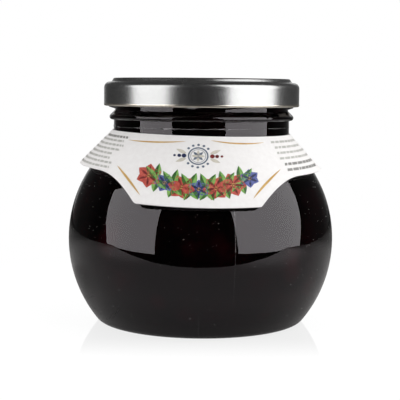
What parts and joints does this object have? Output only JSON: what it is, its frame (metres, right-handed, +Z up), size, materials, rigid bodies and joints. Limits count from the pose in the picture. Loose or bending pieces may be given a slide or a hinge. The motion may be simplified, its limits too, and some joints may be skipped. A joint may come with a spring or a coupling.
{
  "type": "jar of fruit in syrup",
  "caption": "Round glass jar filled with near-black fruit in syrup, shut with a satin twist-off lid and dressed with a white paper collar.",
  "frame": {"origin": "on the ground under the middle of the jar", "axes": "+Z up along the jar's axis, front of the collar towards -Y"},
  "size_m": [0.09, 0.09, 0.0827],
  "materials": {
    "glass": "clear, smooth",
    "syrup": "near-black red fruit in syrup, wet",
    "tinplate": "satin lacquered tinplate",
    "paper": "smooth coated paper"
  },
  "bodies": {
    "root": {"jar_glass": "glass", "fruit_in_syrup": "syrup", "twist_lid": "tinplate", "paper_collar": "paper"}
  },
  "joints": []
}
